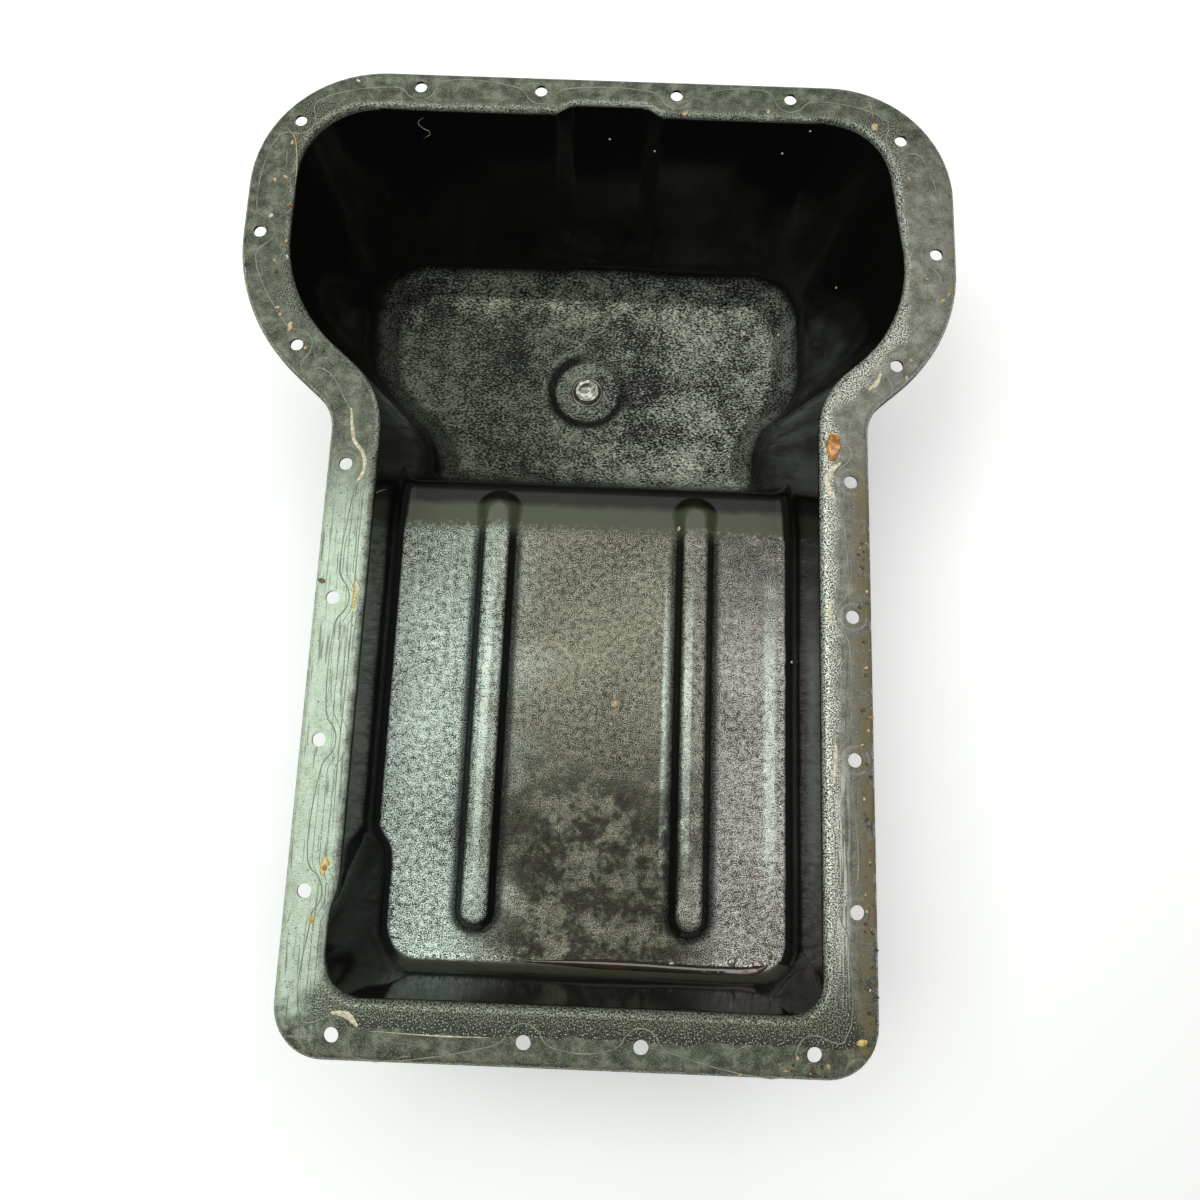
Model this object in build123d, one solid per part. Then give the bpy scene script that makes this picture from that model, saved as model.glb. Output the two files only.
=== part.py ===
from build123d import *
import math
import os

# Engine oil pan of pressed sheet steel, in millimetres.
# The gasket face of the flange is the plane Z = 0 and the open side looks up (+Z).
# The deep sump lies at +Y, the shallow tray at -Y. The origin is the centre of the
# four corner holes of the two straight rails.

# ---------------------------------------------------------------- sheet
sheet = 1.6                   # thickness of the steel
flange_bend = 4.5             # bend from the gasket face into the walls, outer side of the sheet
lip_bend = 3.2                # bend of the turned-down outer edge, outer side of the sheet
lip_height = 7.0              # from the gasket face to the lower edge of the lip

# ---------------------------------------------------------------- flange bolts
bolt_hole = 7.0               # clearance holes for M6
rail_bolt_span = 266.0        # across the two rails
rail_bolt_pitch = 72.0        # along each rail
rail_bolt_rows = 4
front_bolt_gap = 64.0         # last rail bolts to the front row, along Y
front_outer_bolt_x = (-114.0, 112.0)
front_inner_bolt_x = (-24.0, 31.0)
neck_bolt_gap = 66.5          # last rail bolts to the neck bolts, along Y
neck_bolt_outset = (32.75, 25.75)        # left and right, beyond the rail bolts
lobe_bolt_gap = 67.0          # neck bolts to lobe bolts, along Y
lobe_bolt_outset = (27.5, 23.5)          # beyond the neck bolts
corner_bolt_gap = 70.5        # lobe bolts to corner bolts, along Y
corner_bolt_inset = (15.75, 17.75)       # inside the lobe bolts
rear_bolt_gap = 24.5          # corner bolts to the rear row, along Y
rear_outer_bolt_x = (-110.75, 101.75)
rear_inner_bolt_x = (-41.5, 36.5)

# ---------------------------------------------------------------- flange outline
edge_margin = {"rail_left": 10.0, "rail_right": 10.0, "front": 11.5, "rear": 10.0,
               "lobe_left": 10.0, "lobe_right": 11.5, "neck_left": 12.0, "neck_right": 11.0}
seal_land = {"rail_left": 16.0, "rail_right": 16.0, "front": 16.0, "rear": 12.5,
             "lobe_left": 16.0, "lobe_right": 16.0, "neck_left": 14.0, "neck_right": 14.0}
neck_angle = 41.5             # slope of the two necks, from the X axis
lobe_lean = 7.5               # the right side of the opening leans in towards the rear
edge_radii = {"rear_left": 74, "lobe_left": 110, "neck_left": 25, "front_left": 25,
              "front_right": 25, "neck_right": 22, "lobe_right": 95, "rear_right": 70}
opening_radii = {"rear_left": 44, "lobe_left": 90, "neck_left": 50, "front_left": 18,
                 "front_right": 15, "neck_right": 48, "lobe_right": 79, "rear_right": 37}

# ---------------------------------------------------------------- walls and floors
tray_depth = 48.0             # gasket face to the tray floor
sump_depth = 140.0            # gasket face to the sump floor
sump_foot_height = 20.0       # soft lower part of the sump walls, below the knee
sump_foot_lean = 42.0         # of that part, from the vertical
# how far each wall leans in from the gasket face down to the knee
lean_in = {"rail_left": 5.0, "rail_right": 12.6, "front": 14.7, "rear": 24.9,
           "lobe_left": 15.8, "lobe_right": 33.3, "neck_left": 14.1, "neck_right": 24.9}
knee_radii = {"rear_left": 42, "lobe_left": 54, "neck_left": 34, "front_left": 30,
              "front_right": 30, "neck_right": 30, "lobe_right": 46, "rear_right": 40}
knee_bend = 30.0              # walls into their soft lower part
foot_bend = 9.0               # walls into the floors
ramp_length = 28.0            # the tray floor falls over this length before the step
ramp_drop = 5.0
ramp_bend = 30.0
step_gap = 56.5               # edge between the ramp and the sump, in front of the neck bolts
step_bend = 10.0
step_wall_lean = 17.8         # front wall of the sump, from the vertical
step_foot_bend = 25.0

# ---------------------------------------------------------------- jog in the left wall, near the front
jog_out = 5.0                 # the opening widens here, beyond the rail's wall
jog_lean = 20.0               # the wall in front of the jog, from the vertical
jog_gap = 57.5                # middle of the jog to the front bolts, along Y, at the gasket face
jog_length = 22.0             # of its S-shaped bend, along Y
jog_shift = 0.66              # the jog moves rearwards by this much for each mm of depth
jog_zone_width = 41.0         # the corner that is shaped by itself, from the rail's wall inwards

# ---------------------------------------------------------------- clearance channel in the rear wall
channel_x = (-23.0, 19.0)     # its flat back
channel_flank = 9.5           # length along X of each slanting side
channel_depth = 6.5
channel_run_out = 0.4         # what is left of that depth at the knee
channel_radius = 7.0          # its corners at the gasket face
channel_knee_radius = 60.0    # and at the knee

# ---------------------------------------------------------------- stiffening ribs
rib_spacing = 113.0
rib_width = 22.0
rib_height = 6.0
rib_front_gap = 41.0          # front bolts to the rib end
rib_step_gap = 9.0            # rib end to the step edge
rib_side_angle = 38.0         # sides of the rib, from the vertical
rib_crown_bend = 4.5
rib_foot_bend = 3.0

# ---------------------------------------------------------------- drain
drain_x = -12.0
drain_gap = 42.0              # neck bolts to the drain, along Y
dimple_diameter = 60.0
dimple_floor_diameter = 45.0
dimple_drop = 3.0
dimple_edge_bend = 2.6
least_dimple_bend = 0.8
plug_diameter = 18.0          # M18 x 1.5 thread, drawn at its outer diameter
plug_clearance = 0.05         # thread to bore, radial
plug_stand = 3.0              # plug end above the dimple floor
plug_recess_diameter = 11.5
plug_recess_depth = 4.0
plug_end_chamfer = 1.2
collar_diameter = 28.0
collar_height = 3.0
hex_across_flats = 22.0
hex_height = 9.0
hex_chamfer_angle = 30.0      # corner rounding of the head, from the horizontal
washer_diameter = 25.0
washer_thickness = 1.5
washer_clearance = 0.2        # washer hole to thread, radial
boss_diameter = 34.0
boss_height = 8.0
boss_hole_margin = 1.0        # hole in the sheet, outside the plug, radial
boss_weld = 2.5               # weld bead round the boss

least_corner = 3.0            # tightest corner of any wall section
overlap = 10.0                # how far a cutting solid runs past what it cuts
hair = 0.01                   # half height of the band in which edges are looked for
seam_tolerance = 0.001        # mismatch that may be closed where two solids are joined flush

# ---------------------------------------------------------------- places that follow
rail_bolt_x = rail_bolt_span / 2
rail_end_y = (rail_bolt_rows - 1) / 2 * rail_bolt_pitch
front_bolt_y = -rail_end_y - front_bolt_gap
neck_bolt_y = rail_end_y + neck_bolt_gap
lobe_bolt_y = neck_bolt_y + lobe_bolt_gap
corner_bolt_y = lobe_bolt_y + corner_bolt_gap
rear_bolt_y = corner_bolt_y + rear_bolt_gap
neck_bolt_x = (-rail_bolt_x - neck_bolt_outset[0], rail_bolt_x + neck_bolt_outset[1])
lobe_bolt_x = (neck_bolt_x[0] - lobe_bolt_outset[0], neck_bolt_x[1] + lobe_bolt_outset[1])
corner_bolt_x = (lobe_bolt_x[0] + corner_bolt_inset[0], lobe_bolt_x[1] - corner_bolt_inset[1])
step_y = neck_bolt_y - step_gap
ramp_start_y = step_y - ramp_length
rib_front_y = front_bolt_y + rib_front_gap
rib_rear_y = step_y - rib_step_gap
drain_y = neck_bolt_y + drain_gap
knee_depth = sump_depth - sump_foot_height
jog_zone_x = -rail_bolt_x + seal_land["rail_left"] + jog_zone_width
jog_y = front_bolt_y + jog_gap
jog_zone_y = jog_y + tray_depth * jog_shift + jog_length
reflex_corners = ("neck_left", "neck_right")


def tan_deg(angle):
    return math.tan(math.radians(angle))


# ---------------------------------------------------------------- outlines
def main_corners(reach, lean=0.0):
    """The eight corners of an outline that lies reach[side] outside the bolts."""
    front = front_bolt_y - reach["front"]
    rear = rear_bolt_y + reach["rear"]
    rail_left = -rail_bolt_x - reach["rail_left"]
    rail_right = rail_bolt_x + reach["rail_right"]
    lobe_left = lobe_bolt_x[0] - reach["lobe_left"]
    lobe_right = lobe_bolt_x[1] + reach["lobe_right"]
    slope = tan_deg(neck_angle)
    drop = {side: reach[side] / math.cos(math.radians(neck_angle)) for side in reflex_corners}
    lean_slope = tan_deg(lean)

    def left_neck_y(x):
        return neck_bolt_y - drop["neck_left"] - (x - neck_bolt_x[0]) * slope

    def right_neck_y(x):
        return neck_bolt_y - drop["neck_right"] + (x - neck_bolt_x[1]) * slope

    # the leaning side and the right neck line meet at this x
    corner_gap = lobe_bolt_y - right_neck_y(lobe_right)
    lobe_right_x = lobe_right + corner_gap * lean_slope / (1 + slope * lean_slope)
    return {
        "rear_left": (lobe_left, rear),
        "lobe_left": (lobe_left, left_neck_y(lobe_left)),
        "neck_left": (rail_left, left_neck_y(rail_left)),
        "front_left": (rail_left, front),
        "front_right": (rail_right, front),
        "neck_right": (rail_right, right_neck_y(rail_right)),
        "lobe_right": (lobe_right_x, right_neck_y(lobe_right_x)),
        "rear_right": (lobe_right - (rear - lobe_bolt_y) * lean_slope, rear),
    }


def grown_radii(radii, grow):
    """Corner radii of an outline moved outwards by grow, none tighter than least_corner."""
    return {name: r - grow if name in reflex_corners else max(r + grow, least_corner)
            for name, r in radii.items()}


def outline_face(corners, radii):
    """Face inside the corners, each rounded to its own radius."""
    edge = FilletPolyline(*corners.values(), radius=[radii[name] for name in corners], close=True)
    return make_face(edge.edges())


def wall_reach(depth, moved):
    """How far each wall lies outside the bolts at a depth, moved outwards."""
    return {side: moved - land - depth / knee_depth * lean_in[side]
            for side, land in seal_land.items()}


def wall_radii(depth, moved):
    """Corner radii of the walls at a depth, moved outwards."""
    part_way = depth / knee_depth
    radii = {name: opening_radii[name] * (1 - part_way) + knee_radii[name] * part_way
             for name in opening_radii}
    return grown_radii(radii, moved)


def wall_section(depth, grow, extra=0.0):
    """Plan section of the walls at a depth, moved outwards by grow and inwards by extra."""
    part_way = depth / knee_depth
    moved = grow - extra
    corners = main_corners(wall_reach(depth, moved), lobe_lean * (1 - part_way))
    radii = wall_radii(depth, moved)
    rear = corners["rear_right"][1]
    step_back = channel_depth + (channel_run_out - channel_depth) * part_way
    flank_turn = math.atan2(step_back, channel_flank)
    wider = moved * math.tan(flank_turn / 2)
    left = channel_x[0] - wider
    right = channel_x[1] + wider
    channel = {"right": (right + channel_flank, rear), "right_back": (right, rear + step_back),
               "left_back": (left, rear + step_back), "left": (left - channel_flank, rear)}
    bend = channel_radius * (1 - part_way) + channel_knee_radius * part_way
    radii.update({name: bend for name in channel})
    return Pos(0, 0, -depth) * outline_face({**corners, **channel}, radii)


# ---------------------------------------------------------------- the hollow of the pan
def walls(grow):
    """Solid inside the walls, a little deeper than the sump floor, with its soft lower part."""
    below_knee = sump_foot_height + 2 * sheet
    bottom = Pos(0, 0, -below_knee) * wall_section(
        knee_depth, grow, below_knee * tan_deg(sump_foot_lean))
    solid = loft([wall_section(0, grow), wall_section(knee_depth, grow), bottom], ruled=True)
    knee_edges = solid.edges().filter_by_position(Axis.Z, -knee_depth - hair, -knee_depth + hair)
    return solid.fillet(knee_bend + grow, knee_edges)


def floors(grow):
    """Solid above the tray floor, its ramp, the step and the sump floor, across the whole pan."""
    front = front_bolt_y - overlap
    rear = rear_bolt_y + overlap
    step_top = tray_depth + ramp_drop
    step_foot_y = step_y + (sump_depth - step_top) * tan_deg(step_wall_lean)
    line = FilletPolyline((front, overlap), (front, -tray_depth), (ramp_start_y, -tray_depth),
                          (step_y, -step_top), (step_foot_y, -sump_depth),
                          (rear, -sump_depth), (rear, overlap),
                          radius=[0, 0, ramp_bend, step_bend, step_foot_bend, 0, 0], close=True)
    profile = Plane.YZ * make_face(line.edges())
    if grow > 0:
        profile = offset(profile, amount=grow)
    return extrude(profile, amount=lobe_bolt_x[1] - lobe_bolt_x[0], both=True)


def jog_section(depth, grow):
    """Plan section of the front left corner, with the S-shaped jog in its wall."""
    wall_x, front_y = main_corners(wall_reach(depth, grow))["front_left"]
    jog_x = wall_x - jog_out + depth * (tan_deg(jog_lean) - lean_in["rail_left"] / knee_depth)
    middle_y = jog_y + depth * jog_shift
    rear_y = middle_y + jog_length / 2
    fore_y = middle_y - jog_length / 2
    bend = wall_radii(depth, grow)["front_left"]
    edge = [
        Line((jog_zone_x, jog_zone_y), (wall_x, jog_zone_y)),
        Line((wall_x, jog_zone_y), (wall_x, rear_y)),
        Bezier((wall_x, rear_y), (wall_x, middle_y), (jog_x, middle_y), (jog_x, fore_y)),
        Line((jog_x, fore_y), (jog_x, front_y + bend)),
        CenterArc((jog_x + bend, front_y + bend), bend, 180, 90),
        Line((jog_x + bend, front_y), (jog_zone_x, front_y)),
        Line((jog_zone_x, front_y), (jog_zone_x, jog_zone_y))]
    return Pos(0, 0, -depth) * make_face(edge)


def jog_corner(grow):
    """The front left corner of the hollow, down to the tray floor, with the jog in its wall."""
    block = loft([jog_section(0, grow), jog_section(tray_depth + grow, grow)], ruled=True)
    floor_edges = block.faces().sort_by(Axis.Z)[0].edges()
    foot = [edge for edge in floor_edges
            if edge.center().X < jog_zone_x - hair and edge.center().Y < jog_zone_y - hair]
    return block.fillet(foot_bend + grow, foot)


def rib(grow, centre_x):
    """A raised rib: a slot-shaped block with leaning sides and a rounded crown."""
    below = ramp_drop + grow + overlap / 2
    top_z = rib_height - tray_depth - grow
    top_width = rib_width - 2 * rib_height * tan_deg(rib_side_angle) \
        - 2 * grow * tan_deg(45 - rib_side_angle / 2)
    base_width = top_width + 2 * (rib_height + below) * tan_deg(rib_side_angle)
    top_length = rib_rear_y - rib_front_y - (rib_width - top_width)
    centre_y = (rib_rear_y + rib_front_y) / 2
    base = SlotOverall(top_length + base_width - top_width, base_width, rotation=90)
    place = Pos(centre_x, centre_y, top_z - rib_height - below)
    block = place * extrude(base, amount=rib_height + below, taper=rib_side_angle)
    return block.fillet(rib_crown_bend - grow, block.faces().sort_by(Axis.Z)[-1].edges())


def dimple(grow):
    """The round recess pressed down round the drain, as the solid it adds to the hollow."""
    side = (dimple_diameter - dimple_floor_diameter) / 2
    lean = math.degrees(math.atan2(side, dimple_drop))
    wider = grow * tan_deg(45 - lean / 2)
    floor_r = dimple_floor_diameter / 2 + wider
    above = overlap / 2
    floor = Pos(drain_x, drain_y, -sump_depth - dimple_drop - grow) * Circle(floor_r)
    block = extrude(floor, amount=dimple_drop + above, taper=-lean)
    return block.fillet(dimple_edge_bend + grow, block.faces().sort_by(Axis.Z)[0].edges())


def hollow(grow):
    """Everything inside the pan's inner surface, moved outwards by grow."""
    wall_solid = walls(grow)
    floor_solid = floors(grow)
    solid = (wall_solid & floor_solid).solid()
    solid = solid.fillet(foot_bend + grow, new_edges(wall_solid, floor_solid, combined=solid))
    plain_corner = Pos(jog_zone_x, jog_zone_y, 0) * Box(
        2 * jog_zone_width, lobe_bolt_y, tray_depth + overlap,
        align=(Align.MAX, Align.MAX, Align.MAX))
    solid = solid.cut(plain_corner).fuse(jog_corner(grow), tol=seam_tolerance).solid()
    for side in (-1, 1):
        block = rib(grow, side * rib_spacing / 2)
        ribbed = (solid - block).solid()
        solid = ribbed.fillet(rib_foot_bend + grow, new_edges(solid, block, combined=ribbed))
    block = dimple(grow)
    dimpled = (solid + block).solid()
    inner_bend = max(dimple_edge_bend - grow, least_dimple_bend)
    return dimpled.fillet(inner_bend, new_edges(solid, block, combined=dimpled))


# ---------------------------------------------------------------- flange
def bolt_places():
    """Centres of the 22 bolt holes, as (x, y)."""
    rows = {front_bolt_y: front_outer_bolt_x + front_inner_bolt_x, neck_bolt_y: neck_bolt_x,
            lobe_bolt_y: lobe_bolt_x, corner_bolt_y: corner_bolt_x,
            rear_bolt_y: rear_outer_bolt_x + rear_inner_bolt_x}
    for row in range(rail_bolt_rows):
        rows[row * rail_bolt_pitch - rail_end_y] = (-rail_bolt_x, rail_bolt_x)
    return [(x, y) for y, row in rows.items() for x in row]


def flange_block(inset, height):
    """Block under the gasket face, inset from the flange edge, with its upper edge rounded."""
    reach = {side: margin - inset for side, margin in edge_margin.items()}
    face = Pos(0, 0, -inset) * outline_face(main_corners(reach), grown_radii(edge_radii, -inset))
    block = extrude(face, amount=-height)
    return block.fillet(lip_bend - inset, block.faces().sort_by(Axis.Z)[-1].edges())


def gasket_face_edges(solid):
    """Edges of the opening, in the plane of the gasket face."""
    gasket_face = solid.faces().filter_by(Axis.Z).sort_by(Axis.Z)[-1]
    return gasket_face.inner_wires()[0].edges()


def pressing():
    """The one-piece pan: flange with its lip, tray, ribs, step, sump and drain dimple."""
    flange = (flange_block(0, lip_height) - flange_block(sheet, lip_height)).solid()
    outside = hollow(sheet)
    pan = (flange + outside).solid()
    under_bend = new_edges(flange, outside, combined=pan).filter_by_position(
        Axis.Z, -sheet - hair, -sheet + hair)
    pan = pan.fillet(flange_bend - sheet, under_bend)
    pan = (pan - hollow(0)).solid()
    pan = pan.fillet(flange_bend, gasket_face_edges(pan))
    holes = [Pos(x, y, 0) * Cylinder(bolt_hole / 2, 2 * lip_height) for x, y in bolt_places()]
    drain_hole = Pos(drain_x, drain_y, -sump_depth) * Cylinder(
        plug_diameter / 2 + boss_hole_margin, 2 * overlap)
    return (pan - holes - drain_hole).solid()


# ---------------------------------------------------------------- drain parts
boss_top_z = -sump_depth - dimple_drop - sheet
boss_bottom_z = boss_top_z - boss_height
washer_bottom_z = boss_bottom_z - washer_thickness
plug_top_z = plug_stand - sump_depth - dimple_drop


def drain_boss():
    """Threaded ring welded under the dimple."""
    at = Pos(drain_x, drain_y, boss_bottom_z)
    ring = extrude(at * Circle(boss_diameter / 2), amount=boss_height)
    ring = chamfer(ring.edges().sort_by(Axis.Z)[0], length=plug_end_chamfer)
    bead = Pos(drain_x, drain_y, boss_top_z - boss_weld / 2) * Cone(
        boss_diameter / 2, boss_diameter / 2 + boss_weld, boss_weld)
    bore = at * Cylinder(plug_diameter / 2 + plug_clearance, 3 * boss_height)
    return ring + bead - bore


def drain_washer():
    """Sealing ring between the plug's collar and the boss."""
    middle = Pos(drain_x, drain_y, (boss_bottom_z + washer_bottom_z) / 2)
    ring = Cylinder(washer_diameter / 2, washer_thickness)
    ring = fillet(ring.edges().filter_by(GeomType.CIRCLE), radius=washer_thickness / 4)
    return middle * (ring - Cylinder(plug_diameter / 2 + washer_clearance, washer_thickness))


def drain_plug():
    """Hexagon-headed plug with a collar, a plain-drawn shank and a recess in its end."""
    shank_height = plug_top_z - washer_bottom_z
    shank = extrude(Circle(plug_diameter / 2), amount=shank_height)
    shank = chamfer(shank.edges().sort_by(Axis.Z)[-1], length=plug_end_chamfer)
    recess = Pos(0, 0, shank_height) * Cylinder(plug_recess_diameter / 2, 2 * plug_recess_depth)
    collar = extrude(Circle(collar_diameter / 2), amount=-collar_height)
    collar = fillet(collar.edges(), radius=collar_height / 4)
    corner_radius = hex_across_flats / math.sqrt(3)
    hexagon = Pos(0, 0, -collar_height) * RegularPolygon(corner_radius, 6)
    head = extrude(hexagon, amount=-hex_height)
    crown_height = (corner_radius - hex_across_flats / 2) * tan_deg(hex_chamfer_angle)
    crown = extrude(Circle(corner_radius), amount=crown_height - collar_height - hex_height)
    crown = chamfer(crown.edges().sort_by(Axis.Z)[0], length=crown_height,
                    length2=crown_height / tan_deg(hex_chamfer_angle))
    return Pos(drain_x, drain_y, washer_bottom_z) * (shank + collar + (head & crown) - recess)


os.makedirs("parts", exist_ok=True)
pieces = {"oil_pan_pressing": pressing(), "drain_boss": drain_boss(),
          "drain_washer": drain_washer(), "drain_plug": drain_plug()}
for name, piece in pieces.items():
    piece.label = name
    export_step(piece, f"parts/{name}.step")
    print(name, "volume", round(piece.volume), "mm3")
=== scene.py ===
# %% [markdown]
# # A used engine oil pan
# The pan is one sheet of steel, pressed deep. Its flat flange seals against the engine, its
# shallow tray lies under the crankshaft, and its deep sump holds the oil and the drain plug.
# The pressing and the drain parts come as a fixed frame with true sizes, so this lesson only
# adds what a used pan carries: worn paint, wet oil, sealant, flakes, hairs and the light.

# %% Load the frame
import bpy
import math
import random
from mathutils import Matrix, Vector


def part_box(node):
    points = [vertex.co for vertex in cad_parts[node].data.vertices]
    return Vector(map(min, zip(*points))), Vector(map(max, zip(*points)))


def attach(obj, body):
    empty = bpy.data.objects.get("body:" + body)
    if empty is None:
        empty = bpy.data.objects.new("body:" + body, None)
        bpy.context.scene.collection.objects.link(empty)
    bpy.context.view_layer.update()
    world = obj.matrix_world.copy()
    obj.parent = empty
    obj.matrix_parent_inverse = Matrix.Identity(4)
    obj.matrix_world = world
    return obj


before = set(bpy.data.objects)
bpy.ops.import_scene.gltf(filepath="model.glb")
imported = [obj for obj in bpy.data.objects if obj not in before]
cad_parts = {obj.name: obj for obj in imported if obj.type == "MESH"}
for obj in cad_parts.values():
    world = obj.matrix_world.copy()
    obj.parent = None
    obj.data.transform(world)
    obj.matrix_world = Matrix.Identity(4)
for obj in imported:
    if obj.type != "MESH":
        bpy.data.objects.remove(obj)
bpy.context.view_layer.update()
MM = 0.001
pan_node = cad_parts["oil_pan_pressing"]
print("frame nodes:", sorted(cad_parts))

# %% [markdown]
# ## Writing a finish as a sum
# A finish is a small network of nodes. Wiring each Math node by hand hides what it works out,
# so a Wire wraps one output socket and lets it be added, multiplied and compared like a
# number. A Tree holds the nodes, and its node method adds any kind of node. A Finish is the
# tree of one material.

# %% Wires
class Wire:
    """One output of a node, used in expressions like a number."""

    def __init__(self, tree, socket):
        self.tree = tree
        self.socket = socket

    def math(self, operation, *values):
        return self.tree.node("ShaderNodeMath", {"operation": operation}, self, *values)

    def __add__(self, other):
        return self.math("ADD", other)

    def __radd__(self, other):
        return self.math("ADD", other)

    def __sub__(self, other):
        return self.math("SUBTRACT", other)

    def __rsub__(self, other):
        return self.tree.node("ShaderNodeMath", {"operation": "SUBTRACT"}, other, self)

    def __mul__(self, other):
        return self.math("MULTIPLY", other)

    def __rmul__(self, other):
        return self.math("MULTIPLY", other)

    def __lt__(self, other):
        return self.math("LESS_THAN", other)

    def __gt__(self, other):
        return self.math("GREATER_THAN", other)

    def __abs__(self):
        return self.math("ABSOLUTE")

    def root(self):
        return self.math("SQRT")

    def least(self, other):
        return self.math("MINIMUM", other)

    def most(self, other):
        return self.math("MAXIMUM", other)

    def rise(self, low, high):
        """0 below low, 1 above high, and a smooth rise between them."""
        settings = {"interpolation_type": "SMOOTHSTEP"}
        return self.tree.node("ShaderNodeMapRange", settings, self, low, high)

    def fall(self, low, high):
        """1 below low, 0 above high, and a smooth fall between them."""
        return self.rise(high, low)


print("a wire can be added to, multiplied and compared")


# %% Trees of nodes
class Tree:
    """The nodes of a material or of the world, with one way to add any of them."""

    def __init__(self, tree):
        self.tree = tree

    def node(self, kind, settings, *values, output=0, **named):
        """Adds a node, makes its settings, and links or sets its input sockets."""
        node = self.tree.nodes.new(kind)
        for key, value in settings.items():
            if key == "stops":
                self.set_stops(node.color_ramp, value)
            else:
                setattr(node, key, value)
        sockets = list(enumerate(values)) + [(k.replace("_", " "), v) for k, v in named.items()]
        for key, value in sockets:
            if isinstance(value, Wire):
                self.tree.links.new(value.socket, node.inputs[key])
            elif value is not None:
                is_colour = node.inputs[key].type == "RGBA"
                node.inputs[key].default_value = (*value, 1.0) if is_colour else value
        return Wire(self, node.outputs[output])

    def set_stops(self, ramp, stops):
        while len(ramp.elements) < len(stops):
            ramp.elements.new(1.0)
        for element, (place, colour) in zip(ramp.elements, stops):
            element.position = place
            element.color = (*colour, 1.0)


print("a tree adds any node")


# %% Finishes
class Finish(Tree):
    """The tree of one material, and short ways to add the nodes that it needs most."""

    def __init__(self, name, **constants):
        self.material = bpy.data.materials.new(name)
        self.material.use_nodes = True
        super().__init__(self.material.node_tree)
        self.shader = self.tree.nodes["Principled BSDF"]
        for socket, value in constants.items():
            self.shader.inputs[socket.replace("_", " ")].default_value = value

    def place(self):
        """Where a point lies on the part, in metres."""
        return self.node("ShaderNodeTexCoord", {}, output="Object")

    def axes(self, vector):
        """The x, y and z of a vector."""
        first = self.node("ShaderNodeSeparateXYZ", {}, vector)
        return [Wire(self, output) for output in first.socket.node.outputs]

    def noise(self, place, size, detail=3.0, roughness=0.55, stretch=(1, 1, 1)):
        """Cloudy noise from 0 to 1, with lumps of the given size in millimetres."""
        scaled = self.node("ShaderNodeVectorMath", {"operation": "MULTIPLY"}, place, stretch)
        return self.node("ShaderNodeTexNoise", {}, Vector=scaled, Scale=1 / (size * MM),
                         Detail=detail, Roughness=roughness)

    def ramp(self, value, *stops):
        return self.node("ShaderNodeValToRGB", {"stops": stops}, value)

    def mix(self, share, first, second):
        """Colour between first (share 0) and second (share 1)."""
        unused = [None] * 5          # sockets for mixing numbers and vectors
        return self.node("ShaderNodeMix", {"data_type": "RGBA"}, share, *unused, first, second,
                         output=2)

    def bump(self, height, strength=1.0):
        """Normal of a surface raised by height, in millimetres."""
        return self.node("ShaderNodeBump", {}, Strength=strength, Distance=MM, Height=height)

    def feed(self, **wires):
        """Links wires to sockets of the shader."""
        for socket, wire in wires.items():
            self.tree.links.new(wire.socket, self.shader.inputs[socket.replace("_", " ")])
        return self.material


def between(share, first, second):
    """Number between first (share 0) and second (share 1)."""
    return share.math("MULTIPLY_ADD", second - first, first)


print("finishes are ready")

# %% [markdown]
# ## The pressing
# One skin, four looks: the flange wears grey-green paint, the walls are smooth and black with
# oil, the floors are rough under a wet film, and the outside is plain dark paint. Cutting the
# mesh into four would break its edges, so one finish finds its own zone from the height of a
# point and from the side its normal faces. The heights are measured on the mesh by a ray.

# %% Heights of the floors
def surface(x, y):
    """Point and normal of the pressing right below x, y in millimetres, or two Nones."""
    above = (x * MM, y * MM, 50 * MM)
    hit, point, normal, _ = pan_node.ray_cast(above, (0, 0, -1))
    return (point, normal) if hit else (None, None)


tray_level = surface(0, -30)[0].z
sump_level = surface(60, 200)[0].z
print("tray floor at", round(tray_level, 4), "sump floor at", round(sump_level, 4))

# %% Zones of the pressing
flange_depth = 3.2 * MM          # paint turns into oily skin below this depth
inside_centre = (-0.005, 0.2, 0.3)   # every inner face looks towards this point

pan = Finish("pan_skin", Specular_IOR_Level=0.3, IOR=1.5)
place = pan.place()
x, y, z = pan.axes(place)
normal = pan.node("ShaderNodeNewGeometry", {}, output=1)
normal_z = pan.axes(normal)[2]
to_centre = pan.node("ShaderNodeVectorMath", {"operation": "SUBTRACT"}, inside_centre, place)
facing_in = pan.node("ShaderNodeVectorMath", {"operation": "DOT_PRODUCT"}, to_centre, normal,
                     output=1)
inside = facing_in.rise(-0.01, 0.01)
on_flange = z.rise(-flange_depth - 1.6 * MM, -flange_depth) * normal_z.rise(0.3, 0.7)
in_sump = z.fall(tray_level - 40 * MM, tray_level - 20 * MM)
# The tray floor counts only where it is nearly flat, but the ribs keep grains on their sides.
near_ribs = (abs(x) < 88 * MM) * (y > -141 * MM)
on_ribs = between(y.rise(80 * MM, 96 * MM), normal_z.rise(0.66, 0.93), normal_z.rise(0.25, 0.60))
tray_floor = between(near_ribs, normal_z.rise(0.88, 0.98), on_ribs)
tray_floor = tray_floor * (z < -30 * MM)
sump_floor = normal_z.rise(0.48, 0.80) * (z < -100 * MM)
on_floor = between(in_sump, tray_floor, sump_floor)
print("zones are set")

# %% [markdown]
# ## Distance from the opening
# Oil has crept over the inner strip of the flange. That strip needs the distance of a point
# from the opening. The opening is a rectangle over the tray joined to a wide hexagon over the
# sump, and the distance from a convex shape is the greatest of the distances from its sides.

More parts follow.
